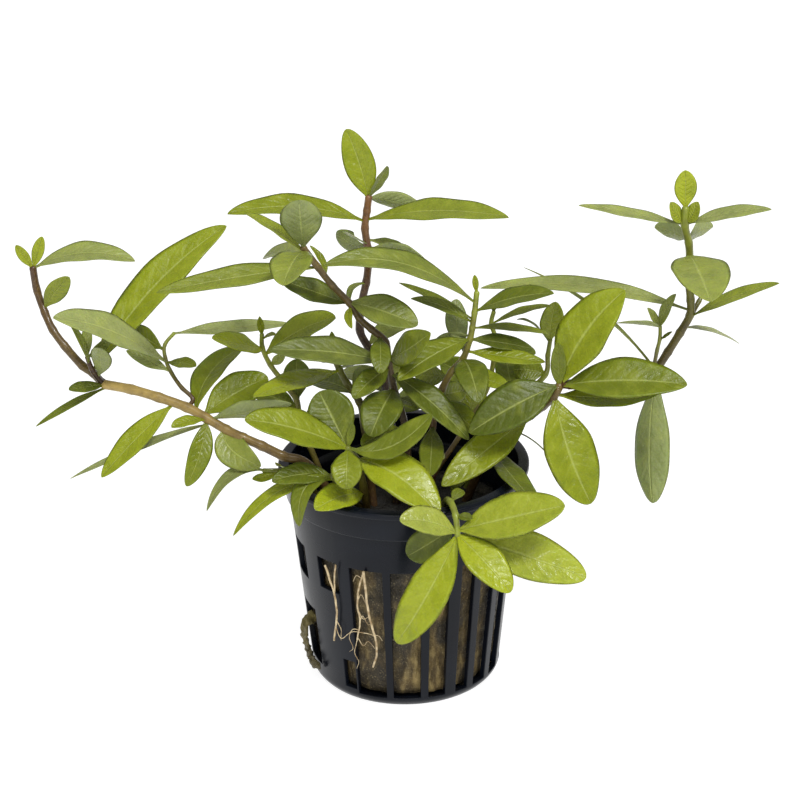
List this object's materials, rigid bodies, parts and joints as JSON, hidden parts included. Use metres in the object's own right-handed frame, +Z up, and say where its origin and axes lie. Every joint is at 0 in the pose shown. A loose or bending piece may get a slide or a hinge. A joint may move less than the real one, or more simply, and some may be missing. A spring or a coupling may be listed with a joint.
{
  "type": "potted dwarf hygrophila",
  "caption": "Slotted aquarium net pot with a mineral wool plug and a leaning, trailing bunch of leafy dwarf hygrophila stems.",
  "frame": {"origin": "centre of the flat foot of the pot, on the surface that it stands on", "axes": "+Z is up. -Y is the front, the side that the picture shows. +X is to the right seen from the front."},
  "size_m": [0.1629, 0.0701, 0.1213],
  "materials": {
    "pot_plastic": "satin, moulded",
    "mineral_wool": "matt, fibrous, wet",
    "root": "matt",
    "stem": "satin, green to purple-brown",
    "tan_stem": "glossy",
    "leaf": "satin, pale grey-green underneath"
  },
  "bodies": {
    "root": {"net_pot": "pot_plastic", "wool_plug": "mineral_wool", "roots": "root", "main_stem": "stem", "leaning_stem": "stem", "low_shoot": "stem", "trailing_stem": "tan_stem", "outer_branch": "stem", "side_shoot": "stem", "lower_shoot": "stem", "bent_shoot": "stem", "front_shoot": "stem", "red_shoot": "stem", "right_arm": "stem", "right_stem": "stem", "back_shoot": "stem", "front_cluster": "stem", "leaf_top": "leaf", "leaf_main_left": "leaf", "leaf_main_right": "leaf", "leaf_hanging": "leaf", "leaf_slanting": "leaf", "leaf_round": "leaf", "leaf_leaning_upright": "leaf", "leaf_leaning_front": "leaf", "leaf_leaning_left": "leaf", "leaf_crossing_left": "leaf", "leaf_crossing_right": "leaf", "leaf_low_left": "leaf", "leaf_trailing_pale": "leaf", "leaf_trailing_big": "leaf", "leaf_trailing_hanging": "leaf", "leaf_trailing_tall": "leaf", "leaf_side_long": "leaf", "leaf_bent_left": "leaf", "leaf_bent_right": "leaf", "leaf_front_left": "leaf", "leaf_front_back": "leaf", "leaf_front_small": "leaf", "leaf_front_big": "leaf", "leaf_front_sweeping": "leaf", "leaf_rim_left": "leaf", "leaf_red_long": "leaf", "leaf_red_right": "leaf", "leaf_red_bright": "leaf", "leaf_red_facing": "leaf", "leaf_arm_up": "leaf", "leaf_arm_right": "leaf", "leaf_arm_under": "leaf", "leaf_arm_hanging": "leaf", "leaf_arm_left": "leaf", "leaf_arm_low": "leaf", "leaf_right_broad": "leaf", "leaf_right_arching": "leaf", "leaf_right_hanging": "leaf", "leaf_cluster_left": "leaf", "leaf_cluster_down": "leaf", "leaf_cluster_right": "leaf", "leaf_cluster_low": "leaf", "leaf_cluster_facing": "leaf"}
  },
  "joints": []
}
